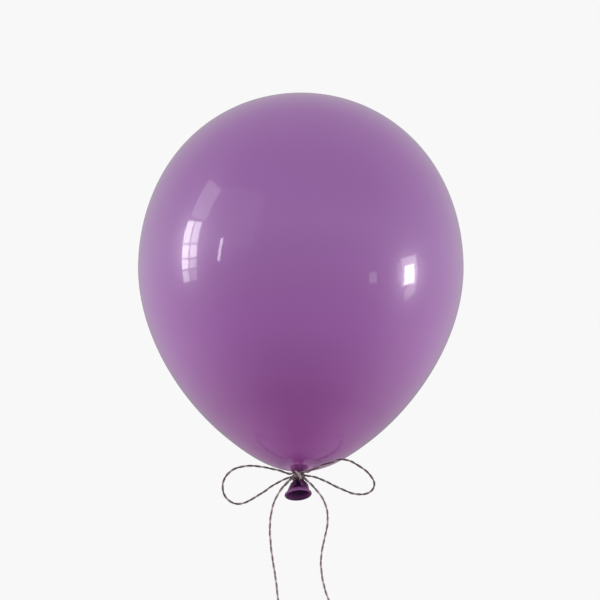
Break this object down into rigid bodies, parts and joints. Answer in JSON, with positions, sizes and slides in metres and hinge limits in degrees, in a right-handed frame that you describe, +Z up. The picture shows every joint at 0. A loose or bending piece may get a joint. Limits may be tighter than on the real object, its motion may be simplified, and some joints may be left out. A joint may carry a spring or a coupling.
{
  "type": "latex balloon",
  "caption": "Inflated egg-shaped latex balloon, tied at its neck with twine in a bow, with two loops, two hanging tails and a flared mouth.",
  "frame": {"origin": "centre of the tie: on the balloon's axis, at the middle of the twine's turns", "axes": "+Z up the balloon's axis to its crown, +X to the right with the bow's knot facing the viewer, -Y the side that the knot is on"},
  "size_m": [0.2539, 0.254, 0.4874],
  "materials": {
    "latex": "gloss",
    "latex_dark": "satin",
    "twine": "matte"
  },
  "bodies": {
    "balloon": {"bulb": "latex", "neck": "latex_dark"},
    "mouth": {"skirt": "latex_dark", "lip": "latex_dark"},
    "bow": {"twine_wrap": "twine", "bow_knot": "twine"},
    "loop_left": {"loop_left": "twine"},
    "loop_right": {"loop_right": "twine"},
    "tail_left": {"tail_left": "twine"},
    "tail_right": {"tail_right": "twine"}
  },
  "joints": [
    {"name": "mouth_flex", "type": "hinge", "parent": "balloon", "child": "mouth", "pos_m": [0, 0, -0.0056], "axis": [1, 0, 0], "range_deg": [-15, 15], "stiffness_Nm_per_rad": 0.0005},
    {"name": "bow_swivel", "type": "hinge", "parent": "balloon", "child": "bow", "pos_m": [0, 0, 0], "axis": [0, 0, 1], "range_deg": [-12, 12]},
    {"name": "loop_left_droop", "type": "hinge", "parent": "bow", "child": "loop_left", "pos_m": [-0.005, -0.0072, -0.0005], "axis": [0, -1, 0], "range_deg": [-6, 25]},
    {"name": "loop_right_droop", "type": "hinge", "parent": "bow", "child": "loop_right", "pos_m": [0.005, -0.0072, 0.0005], "axis": [0, 1, 0], "range_deg": [-6, 25]},
    {"name": "tail_left_swing", "type": "hinge", "parent": "bow", "child": "tail_left", "pos_m": [-0.0046, -0.0052, -0.0014], "axis": [1, 0, 0], "range_deg": [0, 40]},
    {"name": "tail_right_swing", "type": "hinge", "parent": "bow", "child": "tail_right", "pos_m": [0.0046, -0.0052, -0.0014], "axis": [1, 0, 0], "range_deg": [0, 40]}
  ]
}
